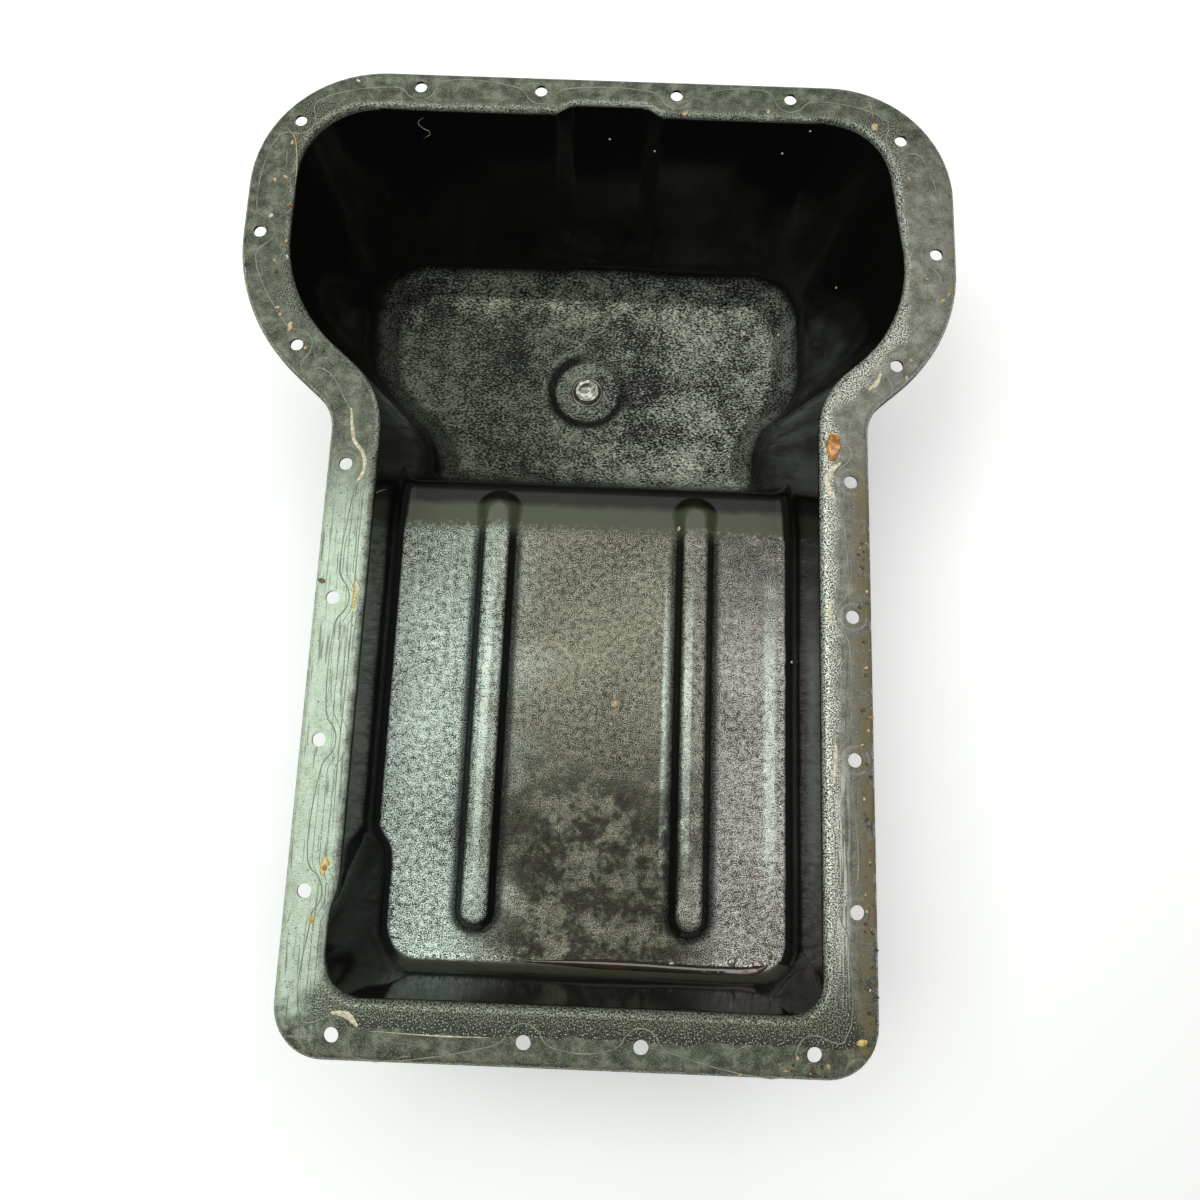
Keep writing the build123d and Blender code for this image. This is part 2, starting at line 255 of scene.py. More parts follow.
# %% Wet strip beside the opening
rail_x = 117 * MM                # inner edge of each rail
rail_hole = 133                  # row of holes along each rail, in millimetres from the middle
half_pitch = 36                  # half the way from one rail hole to the next, in millimetres
front_y = -156 * MM
sump_sides = (-177 * MM, 163 * MM)
sump_rear = 324 * MM
neck_turn = math.radians(41.5)
neck_start = 150 * MM            # height on Y where each neck leaves its rail

from_tray = (abs(x) - rail_x).most(front_y - y).most(y - neck_start - 30 * MM)
neck_line = (abs(x) - rail_x) * math.sin(neck_turn) - (y - neck_start) * math.cos(neck_turn)
from_sump = neck_line.most(sump_sides[0] - x).most(x - sump_sides[1]).most(y - sump_rear)
from_opening = from_tray.least(from_sump)
creep = pan.noise(place, 11.0, detail=2.0, roughness=0.6)
wobble = creep - 0.5
front_edge = y.fall(-156 * MM, -140 * MM)
wet_side = (x.rise(60 * MM, 110 * MM) * y.fall(150 * MM, 190 * MM)).most(front_edge)
wet_reach = between(wet_side, 1.5 * MM, 7.5 * MM)
from_strip = from_opening + wobble * (12 * MM) - wet_reach
wet_strip = from_strip.fall(-3 * MM, 4 * MM)
print("wet strip is set")

# %% [markdown]
# ## Wet floors
# The floors glitter because thin oil lies over baked-on grit. One fine noise gives each grain its
# slope, through the bump, and its colour: the bright grains are painted glints beside dark gaps.
# The grit is fine in the tray, drawn out into wrinkles in the sump, and washed off the ramp.

# %% Grains and painted glints of the tray floor
rib_middle, rib_place = 0.25 * MM, 56.5 * MM     # each rib lies rib_place from the middle
rib_front, rib_rear = -120 * MM, 98 * MM         # middles of the round ends
grit = pan.noise(place, 0.6, detail=1.0, roughness=0.7)
clump = pan.noise(place, 3.2, detail=1.0)
sheen_patch = pan.noise(place, 48.0, detail=1.0)
drift = (sheen_patch - 0.5) * (40 * MM)
# edge strips that get painted highlight lines of glitter
highlight_strips = ((99.5, 4.5), (42.5, 3.5), (53.5, 3.0), (-57.5, 3.0))  # middle and half width
strip_highlight = 0
for edge_x, reach in highlight_strips:
    strip = abs(x - edge_x * MM).fall(reach * MM * 0.4, reach * MM)
    strip_highlight = strip + strip_highlight
strip_highlight = strip_highlight * y.rise(-135 * MM, -60 * MM) * y.fall(0, 85 * MM)
# bright grains are painted glints: the lamps' reflections painted into the colour of the grit
grit_glints = grit + (clump - 0.5) * 0.3 + (sheen_patch - 0.5) * 0.15 + strip_highlight * 0.07
grit_glints = grit_glints.rise(0.41, 0.59)
# left and right zones are painted reflections of the lamps, greenish and pinkish, dimmer at the rear
left_lamp_reflection = (drift - x).rise(25 * MM, 75 * MM)
right_lamp_reflection = (x + drift).rise(38 * MM, 82 * MM)
glint_colour = pan.mix(left_lamp_reflection, pan.mix(right_lamp_reflection, (0.40, 0.39, 0.30), (0.70, 0.65, 0.63)),
                       (0.78, 0.92, 0.82))
rear_left_dim_reflection = left_lamp_reflection * (y + drift).rise(10 * MM, 90 * MM)
rear_right_dark_reflection = right_lamp_reflection * (y + drift).rise(0, 80 * MM)
glint_colour = pan.mix(rear_left_dim_reflection * 0.6, glint_colour, (0.34, 0.35, 0.29))
glint_colour = pan.mix(strip_highlight * 0.75, glint_colour, (0.88, 1.0, 0.90))
tray_colour = pan.mix(grit_glints, (0.030, 0.029, 0.019), glint_colour)
# the middle front is painted dark, a painted reflection of the dark space over the tray
middle_dark_reflection = (drift * 2 - y).rise(0, 75 * MM) * (1 - left_lamp_reflection) * (1 - right_lamp_reflection)
middle_dark_reflection = middle_dark_reflection.most(rear_right_dark_reflection * 0.7)
dark_reflection_gaps = middle_dark_reflection * (grit * 0.5 + clump * 0.5 + wobble * 0.6).rise(0.40, 0.58)
tray_colour = pan.mix(dark_reflection_gaps * 0.9, tray_colour, (0.012, 0.010, 0.006))
beside_rib = abs(x - rib_middle) - rib_place
past_rib = (rib_front - y).most(y - rib_rear).most(0)
from_rib = (beside_rib * beside_rib + past_rib * past_rib).root()
rib_shade = from_rib.rise(4.5 * MM, 8 * MM) * from_rib.fall(12 * MM, 16 * MM)
rib_shade = rib_shade * between(y.rise(78 * MM, 100 * MM), 1.0, 0.2)
tray_colour = pan.mix(rib_shade * between(clump, 0.65, 1.05), tray_colour, (0.006, 0.007, 0.005))
print("grains are set")

# %% Ramp behind the tray floor
ramp_start = 89 * MM
washed = y.rise(ramp_start - 3 * MM, ramp_start + 3 * MM) * (1 - in_sump)
# the ramp's olive band is a painted reflection, and its rounded lip is painted dark as shade
lip_shade = (y + wobble * (5 * MM)).rise(101 * MM, 107 * MM)
ramp_reflection = pan.mix(lip_shade, (0.060, 0.066, 0.038), (0.004, 0.0045, 0.003))
washed_edge = (y + (clump - 0.5) * (14 * MM)).rise(ramp_start - 4 * MM, ramp_start + 4 * MM)
tray_colour = pan.mix(washed_edge, tray_colour, ramp_reflection)
tray_height = (grit * 0.55 + clump * 0.8) * between(washed, 1.0, 0.04)
print("tray floor is set")

# %% Wrinkles of the sump floor
plug_low, plug_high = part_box("drain_plug")
plug_centre = (plug_low + plug_high) / 2
wrinkle = pan.noise(place, 1.15, detail=2.0, roughness=0.62, stretch=(0.7, 1.2, 1.0))
# bright wrinkle crests are painted glints, brighter to the right and along the rear fold as painted
# light
crest_glints = (wrinkle + wobble * 0.3 + (sheen_patch - 0.5) * 0.35).rise(0.40, 0.70)
sump_glint_colour = pan.mix(x.rise(-60 * MM, 60 * MM), (0.19, 0.21, 0.16), (0.46, 0.48, 0.41))
sump_glint_colour = pan.mix((y + creep * (30 * MM)).rise(275 * MM, 300 * MM) * 0.5, sump_glint_colour,
                      (0.46, 0.52, 0.41))
sump_colour = pan.mix(crest_glints, (0.010, 0.011, 0.008), sump_glint_colour)
across, along = x - plug_centre.x, y - plug_centre.y
from_drain = (across * across + along * along).root()
# the slope round the drain dimple is painted dark as shade, less so on its lit upper right side
drain_slope_shade = from_drain.rise(20 * MM, 23 * MM) * from_drain.fall(26 * MM, 30 * MM)
drain_slope_lit = (across + along).rise(12 * MM, 30 * MM)
sump_colour = pan.mix(drain_slope_shade * between(drain_slope_lit, 0.95, 0.45), sump_colour, (0.004, 0.005, 0.003))
sump_height = wrinkle * 1.1 + clump * 0.8
print("sump floor is set")

# %% Join the inner skin
# the olive band at the foot of the front wall is a painted reflection
front_foot_sheen = (y < -141.5 * MM) * normal_z.rise(0.25, 0.6) * (1 - on_floor)
front_foot_sheen = front_foot_sheen * x.rise(-98 * MM, -92 * MM)
wall_colour = pan.mix(front_foot_sheen, (0.0045, 0.005, 0.0042), (0.030, 0.032, 0.020))
floor_colour = pan.mix(in_sump, tray_colour, sump_colour)
inner_colour = pan.mix(on_floor, wall_colour, floor_colour)
floor_height = between(in_sump, tray_height, sump_height)
inner_height = between(on_floor, sheen_patch * 0.7, floor_height)
inner_metal = on_floor * (1 - washed) * 0.55
inner_rough = between(on_floor, 0.13 + front_foot_sheen * 0.2, between(washed, 0.20, 0.36))
print("inner finish is set")

# %% [markdown]
# ## Flange paint
# The paint is palest on the left rail, where the old gasket kept it clean and where painted
# light from the left brightens it too, grey on the right and dark at both ends. Scraping left
# bright strokes along the right rail, the inner rim is rubbed bright under a painted highlight,
# and the outer right edge keeps brown dirt.

# %% Three tones of paint
mottle = pan.noise(place, 8.0, detail=2.0, roughness=0.7)
dark_paint = pan.ramp(mottle, (0.32, (0.032, 0.036, 0.022)), (0.5, (0.085, 0.093, 0.064)),
                      (0.68, (0.18, 0.19, 0.140)))
# the pale tone is partly clean paint and partly painted light from the left
pale_paint_and_light = pan.ramp(mottle, (0.25, (0.36, 0.42, 0.33)), (0.45, (0.46, 0.55, 0.43)),
                      (0.65, (0.53, 0.63, 0.51)))
grey_paint = pan.ramp(mottle, (0.3, (0.095, 0.093, 0.075)), (0.5, (0.17, 0.166, 0.140)),
                      (0.7, (0.28, 0.272, 0.242)))
below_necks = y.fall(90 * MM, 150 * MM)
left_rail = x.fall(-119 * MM, -108 * MM) * y.fall(60 * MM, 125 * MM)
left_rail = left_rail * (y + mottle * (30 * MM)).rise(-162 * MM, -132 * MM)
right_rail = x.rise(95 * MM, 122 * MM) * y.fall(250 * MM, 330 * MM)
right_rail = right_rail * y.rise(-160 * MM, -110 * MM)
paint = pan.mix(left_rail, pan.mix(right_rail, dark_paint, grey_paint), pale_paint_and_light)
print("three tones of paint are set")

# %% Specks, pits and strokes
speck = pan.noise(place, 0.75, detail=1.0, roughness=0.6)
pit = pan.noise(place, 1.4, detail=1.0, roughness=0.5)
streak = pan.noise(place, 1.3, detail=1.0, roughness=0.6, stretch=(1.0, 0.05, 1.0))
on_rail = below_necks * (abs(x) > rail_x)
streak_dark = streak.fall(0.32, 0.42) * on_rail * 0.6
scraped = x.rise(118 * MM, 121 * MM) * x.fall(126 * MM, 131 * MM)
scraped = scraped * y.fall(-60 * MM, -20 * MM) * y.rise(-158 * MM, -135 * MM)
streak_bright = streak.rise(0.47, 0.56) * scraped
to_bolt = (y - half_pitch * MM).math("WRAP", half_pitch * MM, -half_pitch * MM)
swing_in = abs(to_bolt).fall(4 * MM, 15 * MM)
lane_gap = 1.7 * MM              # between two printed lines of the old gasket
lane = abs(x) - rail_x + swing_in * (4.5 * MM) + wobble * (0.8 * MM)
print_line = lane.math("PINGPONG", lane_gap).fall(0.16 * MM, 0.34 * MM)
print_line = print_line * lane.rise(3 * MM, 4 * MM) * lane.fall(13.5 * MM, 14 * MM)
print_line = print_line * on_rail * between(left_rail, 0.25, 0.70) * pit.rise(0.36, 0.44)
seat_radius = 6.8 * MM           # pale ring that the bolt head pressed
beside_bolt = abs(x) - rail_hole * MM
from_bolt = (to_bolt * to_bolt + beside_bolt * beside_bolt).root()
seat_ring = on_rail * abs(from_bolt - seat_radius).fall(0.3 * MM, 0.9 * MM)
speck_dark = speck.fall(0.32, 0.40)
pit_dark = pit.fall(0.27, 0.32) * 0.85
glint = speck.rise(0.58, 0.68) * (1 - left_rail)
rough_front = front_edge * (from_opening + wobble * (8 * MM) < 13 * MM)
rough_front = rough_front * between(x.rise(-122 * MM, -92 * MM), 0.25, 1.0)
paint = pan.mix(rough_front * 0.85, paint, (0.018, 0.019, 0.013))
paint = pan.mix(glint * between(rough_front, 0.28, 0.80), paint, (0.56, 0.60, 0.50))
paint = pan.mix(streak_dark.most(speck_dark * 0.55).most(pit_dark).most(print_line), paint,
                (0.040, 0.041, 0.030))
paint = pan.mix(seat_ring * 0.22, paint, (0.44, 0.46, 0.38))
paint = pan.mix(streak_bright * 0.75, paint, (0.62, 0.63, 0.56))
print("specks, pits and strokes are set")

# %% Dirt, rim and wet strip
dirt_reach = x.rise(128 * MM, 138 * MM) * below_necks
dirt = (dirt_reach * mottle.rise(0.42, 0.52)).most(
    from_opening.rise(21 * MM, 26 * MM) * mottle.rise(0.52, 0.60) * 0.7)
paint = pan.mix(dirt * 0.8, paint, (0.145, 0.112, 0.052))
# the inner rim is lightened both as rubbed paint and as a painted highlight
rubbed_rim_highlight = z.fall(-0.9 * MM, -0.15 * MM) * (1 - dirt)
paint = pan.mix(rubbed_rim_highlight * speck.rise(0.40, 0.56) * 0.75, paint, (0.50, 0.55, 0.46))
# the bright specks of the wet strip are painted glints, brightest on the right rail
wet_glints = speck.rise(0.42, 0.58)
wet_glint_colour = pan.mix(right_rail, (0.20, 0.21, 0.16), (0.66, 0.68, 0.60))
wet_colour = pan.mix(wet_glints, (0.018, 0.019, 0.014), wet_glint_colour)
flange_colour = pan.mix(wet_strip * 0.85, paint, wet_colour)
flange_rough = between(wet_strip, 0.40 + dirt * 0.3 - rough_front * 0.12, 0.20)
flange_height = speck * 0.28
flange_metal = between(wet_strip, 0.10, 0.35)
print("flange paint is set")

# %% Outside paint
outer_rust = (mottle + wobble * 0.5).rise(0.60, 0.68)
outer_paint = pan.ramp(creep, (0.35, (0.018, 0.019, 0.017)), (0.75, (0.055, 0.055, 0.046)))
outer_paint = pan.mix(speck.rise(0.55, 0.65) * 0.25, outer_paint, (0.11, 0.11, 0.09))
outer_colour = pan.mix(outer_rust * 0.6, outer_paint, (0.09, 0.052, 0.028))
outer_rough = 0.42 + creep * 0.3
print("outside paint is set")

# %% Join the zones
skin_colour = pan.mix(on_flange, pan.mix(inside, outer_colour, inner_colour), flange_colour)
skin_rough = between(on_flange, between(inside, outer_rough, inner_rough), flange_rough)
skin_metal = between(on_flange, inside * inner_metal, flange_metal)
outer_height = speck * 0.10
skin_height = between(on_flange, between(inside, outer_height, inner_height), flange_height)
pan_material = pan.feed(Base_Color=skin_colour, Roughness=skin_rough, Metallic=skin_metal,
                        Normal=pan.bump(skin_height))
for slot in pan_node.material_slots:
    slot.material = pan_material
print("pressing painted")

# %% [markdown]
# ## Drain parts
# The boss and the plug are plain steel under old oil, and the sealing ring is copper. One
# function makes all three, because only the metal's colour and its shine differ: a cloudy
# noise darkens and dulls patches of it.

# %% Metal finishes
def oily_metal(name, clean, stained, shine, lumps=0.0):
    """Bare metal with darker, duller patches of old oil, and lumps of it up to a height in mm."""
    metal = Finish(name, Metallic=0.8)
    spot = metal.place()
    stain = metal.noise(spot, 3.0, detail=4.0)
    scratch = metal.noise(spot, 0.8, detail=2.0)
    return metal.feed(Base_Color=metal.mix(stain.rise(0.42, 0.56), clean, stained),
                      Roughness=shine + stain * 0.25,
                      Normal=metal.bump(scratch * 0.05 + stain * lumps))


metals = {"drain_boss": oily_metal("boss_steel", (0.40, 0.42, 0.35), (0.045, 0.048, 0.036), 0.12, 1.6),
          "drain_washer": oily_metal("washer_copper", (0.50, 0.25, 0.13), (0.2, 0.1, 0.06), 0.25),
          "drain_plug": oily_metal("plug_steel", (0.36, 0.36, 0.32), (0.12, 0.12, 0.10), 0.16)}
for node_name, metal in metals.items():
    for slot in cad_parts[node_name].material_slots:
        slot.material = metal
print("painted:", ", ".join(metals))

# %% [markdown]
# ## Small things that stick to the oil
# Sealant, chips, hairs and drops are separate bits of matter that catch the light at their
# edges, so each is a small mesh. Three ways of making them are enough: a bead drawn along
# points, a chip cut from a flat outline, and a drop made from a ball.

# %% Finishes of the small things
def plain_finish(name, pale, dark, size, rough, height=0.1, **constants):
    """Two-tone matter with lumps of the given size in millimetres."""
    stuff = Finish(name, **constants)
    lumps = stuff.noise(stuff.place(), size, detail=3.0)
    return stuff.feed(Base_Color=stuff.mix(lumps.rise(0.35, 0.65), pale, dark),
                      Roughness=rough + lumps * 0.1, Normal=stuff.bump(lumps * height))


sealant = plain_finish("sealant", (0.74, 0.67, 0.50), (0.40, 0.35, 0.24), 1.6, 0.45)
yellow_sealant = plain_finish("yellow_sealant", (0.72, 0.60, 0.22), (0.42, 0.26, 0.07), 1.4, 0.4)
gasket_line = plain_finish("gasket_line", (0.14, 0.15, 0.11), (0.27, 0.29, 0.22), 9.0, 0.5)
varnish = plain_finish("varnish_flake", (0.66, 0.30, 0.07), (0.26, 0.10, 0.02), 3.0, 0.25, 0.3)
tan_grit = plain_finish("tan_grit", (0.68, 0.52, 0.30), (0.32, 0.21, 0.10), 1.2, 0.5)
pale_grit = plain_finish("pale_grit", (0.75, 0.72, 0.60), (0.45, 0.42, 0.32), 1.0, 0.5)
brown_grit = plain_finish("brown_grit", (0.12, 0.07, 0.035), (0.05, 0.03, 0.015), 1.2, 0.5)
straw_skin = plain_finish("straw", (0.55, 0.48, 0.30), (0.35, 0.28, 0.15), 2.0, 0.5)
thick_oil = plain_finish("thick_oil", (0.035, 0.012, 0.004), (0.012, 0.006, 0.003), 12.0, 0.04,
                         0.4, Coat_Weight=1.0, Coat_Roughness=0.03)
oil_drop = plain_finish("oil_drop", (0.34, 0.30, 0.24), (0.12, 0.10, 0.07), 3.0, 0.03,
                        Coat_Weight=1.0, Coat_Roughness=0.02, Metallic=0.5)
print("small finishes are ready")

# %% Settle a new piece
def settle(piece, name, material, body="pan"):
    """Applies the place of a new piece, names and paints it, and lets it ride on a body."""
    bpy.ops.object.transform_apply(location=True, rotation=True, scale=True)
    bpy.ops.object.shade_smooth_by_angle(angle=math.radians(50))
    piece.name = name
    piece.data.name = name
    piece.data.materials.clear()
    piece.data.materials.append(material)
    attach(piece, body)
    return piece


print("settle is ready")


# %% Bead along points
def bead(name, points, width, height, material, closed=False, blunt=0.15):
    """A smooth line through points (x, y, z in millimetres), thin at its ends unless closed."""
    path = [Vector(point) * MM for point in points]
    bpy.ops.object.select_all(action="DESELECT")
    bpy.ops.mesh.primitive_plane_add(size=MM, location=path[0])
    piece = bpy.context.object
    bpy.ops.object.mode_set(mode="EDIT")
    bpy.ops.mesh.merge(type="CENTER")
    for here, there in zip(path, path[1:]):
        bpy.ops.mesh.extrude_region_move(TRANSFORM_OT_translate={"value": there - here})
    if closed:
        bpy.ops.object.mode_set(mode="OBJECT")
        piece.data.vertices[0].select = True
        bpy.ops.object.mode_set(mode="EDIT")
        bpy.ops.mesh.edge_face_add()
    bpy.ops.object.mode_set(mode="OBJECT")
    bpy.ops.object.convert(target="CURVE")
    bpy.ops.object.mode_set(mode="EDIT")
    bpy.ops.curve.select_all(action="SELECT")
    bpy.ops.curve.spline_type_set(type="BEZIER")
    bpy.ops.curve.handle_type_set(type="AUTOMATIC")
    bpy.ops.object.mode_set(mode="OBJECT")
    line = piece.data
    line.resolution_u = 5
    line.bevel_depth = width * MM / 2
    line.bevel_resolution = 2
    line.use_fill_caps = True
    knots = line.splines[0].bezier_points
    if not closed:
        for index in (0, len(knots) - 1):
            knots[index].radius = blunt
    bpy.ops.object.convert(target="MESH")
    bpy.ops.object.mode_set(mode="EDIT")
    bpy.ops.mesh.select_all(action="SELECT")
    bpy.ops.transform.resize(value=(1, 1, height / width), center_override=path[0])
    bpy.ops.object.mode_set(mode="OBJECT")
    return settle(piece, name, material)


print("bead is ready")


# %% Chip and drop
def stand_on(piece, x, y, turn):
    """Puts a new piece on the pressing at x, y, along the surface and turned about its normal."""
    point, normal = surface(x, y)
    piece.rotation_euler = (0, 0, math.radians(turn))
    piece.rotation_euler.rotate(Vector((0, 0, 1)).rotation_difference(normal))
    piece.location = point


def chip(name, x, y, length, width, turn, material, thickness=0.5, corners=7, seed=1):
    """A thin flake with an uneven outline, lying on the pressing."""
    bpy.ops.object.select_all(action="DESELECT")
    bpy.ops.mesh.primitive_circle_add(vertices=corners, radius=MM / 2, fill_type="NGON")
    piece = bpy.context.object
    bpy.ops.object.mode_set(mode="EDIT")
    bpy.ops.mesh.select_all(action="SELECT")
    bpy.ops.transform.resize(value=(length, width, 1), center_override=(0, 0, 0))
    bpy.ops.transform.vertex_random(offset=0.15 * width * MM, seed=seed)
    bpy.ops.mesh.extrude_region_move(TRANSFORM_OT_translate={"value": (0, 0, thickness * MM)})
    bpy.ops.transform.resize(value=(0.8, 0.8, 1), center_override=(0, 0, 0))
    bpy.ops.mesh.select_all(action="SELECT")
    bpy.ops.mesh.normals_make_consistent(inside=False)
    bpy.ops.object.mode_set(mode="OBJECT")
    stand_on(piece, x, y, turn)
    return settle(piece, name, material)


def drop(name, x, y, width, height, material, length=None, turn=0):
    """A flattened ball, half sunk in the surface."""
    bpy.ops.object.select_all(action="DESELECT")
    bpy.ops.mesh.primitive_uv_sphere_add(segments=14, ring_count=8, radius=MM / 2)
    piece = bpy.context.object
    bpy.ops.object.mode_set(mode="EDIT")
    bpy.ops.mesh.select_all(action="SELECT")
    bpy.ops.transform.resize(value=(length or width, width, 2 * height), center_override=(0, 0, 0))
    bpy.ops.object.mode_set(mode="OBJECT")
    stand_on(piece, x, y, turn)
    return settle(piece, name, material)


print("chip and drop are ready")

# %% [markdown]
# ## Gasket trace
# The gasket left a thin line that runs just outside the bolts and swings round the inner side
# of each hole. One closed bead does it: at every hole the line takes seven points, set out
# along the way to the next hole and square to it.

# %% Ring of bolt holes
rail_rows = [-3 * half_pitch, -half_pitch, half_pitch, 3 * half_pitch]
bolt_ring = [(-114, -172), (-24, -172), (31, -172), (112, -172)]
bolt_ring += [(rail_hole, row) for row in rail_rows]
bolt_ring += [(158.75, 174.5), (182.25, 241.5), (164.5, 312), (101.75, 336.5), (36.5, 336.5),
              (-41.5, 336.5), (-110.75, 336.5), (-177.5, 312), (-193.25, 241.5), (-165.75, 174.5)]
bolt_ring += [(-rail_hole, row) for row in reversed(rail_rows)]
swing = [(-15, -2), (-10, 0.5), (-6.5, 5.5), (0, 8.5), (6.5, 5.5), (10, 0.5), (15, -2)]
rail_inset, rail_swing = 3.4, 0.6    # on the rails the line lies further in and swings less
print(len(bolt_ring), "holes lie on the ring")

# %% Points of the trace
neck_points = {(rail_hole, 3 * half_pitch): [(131, 130), (136.5, 147), (145, 160)],
               (-165.75, 174.5): [(-150, 161), (-138, 146), (-131, 128)]}


def trace_points(holes, level=0.05):
    """Points of a line that swings round each hole and bends with the necks."""
    points = []
    for index, hole in enumerate(holes):
        before = Vector(holes[index - 1])
        after = Vector(holes[(index + 1) % len(holes)])
        along = (after - before).normalized()
        inwards = Vector((-along.y, along.x))
        on_side_rail = abs(hole[0]) == rail_hole
        for forth, side in swing:
            side = rail_inset + side * rail_swing if on_side_rail else side
            spot = Vector(hole) + along * forth + inwards * side
            points.append((spot.x, spot.y, level))
        points += [(px, py, level) for px, py in neck_points.get(hole, [])]
    return points


print("the trace has", len(trace_points(bolt_ring)), "points")

# %% Gasket beads
bead("gasket_trace", trace_points(bolt_ring), 0.55, 0.25, gasket_line, closed=True)
inner_line = [(-121.5, 122, 0.05), (-122.5, 60, 0.05), (-122, 10, 0.05), (-122.6, -50, 0.05),
              (-122, -80, 0.05)]
bead("gasket_trace_left", inner_line, 0.6, 0.25, gasket_line)
front_line = [(-96, -169.5, 0.05), (-60, -170.5, 0.05), (-40, -170.2, 0.05)]
bead("gasket_trace_front", front_line, 0.7, 0.3, sealant)
print("gasket trace laid")

# %% [markdown]
# ## Sealant strokes
# Where the gasket halves met, cream sealant was squeezed out and left short curved strokes on
# the inner side of some holes. Each is a flat bead through a few given points.

# %% Sealant strokes
sealant_strokes = {
    "sealant_left_neck": (2.0, sealant, [
        (-132.8, 139.1), (-131, 126.8), (-129.2, 120.2), (-125, 115.1), (-122.8, 107.3),
        (-123.9, 102.1), (-126.5, 97.5)]),
    "sealant_right_neck_upper": (2.6, sealant, [
        (149.9, 169.6), (147.5, 164.0), (143.3, 159.9)]),
    "sealant_right_neck": (3.2, sealant, [
        (127.7, 118.3), (122.7, 113.5), (120.7, 107), (122.5, 101.2), (124.3, 98.7)]),
    "sealant_right_rail_rear": (2.6, sealant, [(122.5, 44.5), (121.2, 38.4), (122.3, 31.1)]),
    "sealant_right_rail_front": (2.4, sealant, [(123.4, -28.2), (123.4, -34), (122.2, -47.8)]),
    "sealant_left_rail": (2.2, yellow_sealant, [
        (-122.8, 43.7), (-121.7, 37.7), (-122.1, 29)]),
    "sealant_front_left": (3.4, sealant, [
        (-114.6, -162), (-106.8, -163.2), (-101.9, -167.7)])}
for name, (width, material, points) in sealant_strokes.items():
    bead(name, [(px, py, 0.1) for px, py in points], width, 0.7, material, blunt=0.4)
print(len(sealant_strokes), "sealant strokes laid")

# %% [markdown]
# ## Chips and crumbs
# Most bits are a few millimetres long. The biggest is a diamond of orange varnish at the right
# neck. The list gives the place, length, width and matter of each. The crumbs of dirt are
# scattered by a seeded draw, most of them along the outer right edge, and a draw that misses
# the flange is made again.

# %% Chips
chip("varnish_flake", 124.0, 127.0, 17.0, 8.5, 84, varnish, thickness=1.4, corners=6, seed=4)
chip("yellow_patch_left", -124.4, -96.2, 9.0, 4.6, 80, yellow_sealant, 0.4, 9, seed=5)
chip("orange_patch_left", -124.2, -97.0, 4.2, 2.4, 75, varnish, 0.6, 7, seed=6)
chip("yellow_patch_front", -128.2, -120.8, 5.0, 2.4, 70, yellow_sealant, 0.4, 8, seed=7)
chip("yellow_patch_right", 133.9, -165.8, 5.5, 3.0, 20, yellow_sealant, 0.4, 8, seed=8)
chips = [
    (-185.8, 312.6, 3.5, 2.5, brown_grit), (-180.9, 297.6, 2.6, 1.4, tan_grit),
    (-188.0, 273.5, 2.8, 1.6, tan_grit), (-182.3, 275.6, 2.4, 1.3, tan_grit),
    (-178.2, 258.8, 2.6, 1.6, varnish), (-187.9, 251.1, 2.8, 1.8, pale_grit),
    (-178.4, 236.2, 2.4, 1.4, tan_grit), (-176.8, 226.9, 2.6, 1.2, pale_grit),
    (-183.0, 223.8, 2.0, 1.2, tan_grit), (-178.6, 195.6, 2.4, 1.4, tan_grit),
    (-176.3, 191.5, 2.0, 1.4, tan_grit), (-170.4, 185.0, 5.3, 2.4, tan_grit),
    (-123.4, 333.6, 2.6, 1.6, brown_grit), (-147.0, 339.0, 2.4, 1.4, pale_grit),
    (41.4, 325.4, 3.5, 1.8, tan_grit), (89.2, 327.9, 2.6, 1.8, tan_grit),
    (149.7, 320.3, 4.0, 3.6, tan_grit), (168.2, 287.9, 2.2, 1.4, tan_grit),
    (176.3, 226.2, 2.2, 1.6, varnish), (184.9, 213.8, 2.4, 1.6, yellow_sealant),
    (188.2, 217.4, 2.0, 1.2, tan_grit), (163.8, 167.4, 2.6, 1.4, tan_grit),
    (166.6, 177.7, 2.2, 1.6, tan_grit), (-139.3, 44.4, 3.6, 2.2, brown_grit),
    (98.6, -179.2, 2.2, 1.2, yellow_sealant), (77.3, -182.1, 2.2, 1.2, yellow_sealant),
    (97.6, 263.9, 2.4, 1.6, pale_grit), (121.1, 260.4, 2.2, 1.4, pale_grit),
    (87.5, 186.0, 2.0, 1.2, tan_grit), (14.0, -9.0, 4.0, 3.0, tan_grit),
    (47.0, 92.0, 2.6, 1.8, tan_grit)]
growth = 1.2                     # the sizes above are the flat tops, and the feet are wider
turn_step = 37                   # degrees from one chip to the next, so that no two lie alike
for number, (px, py, length, width, material) in enumerate(chips, start=1):
    chip(f"chip_{number:02d}", px, py, length * growth, width * growth, turn_step * number,
         material, seed=number)
print(len(chips) + 5, "chips laid")

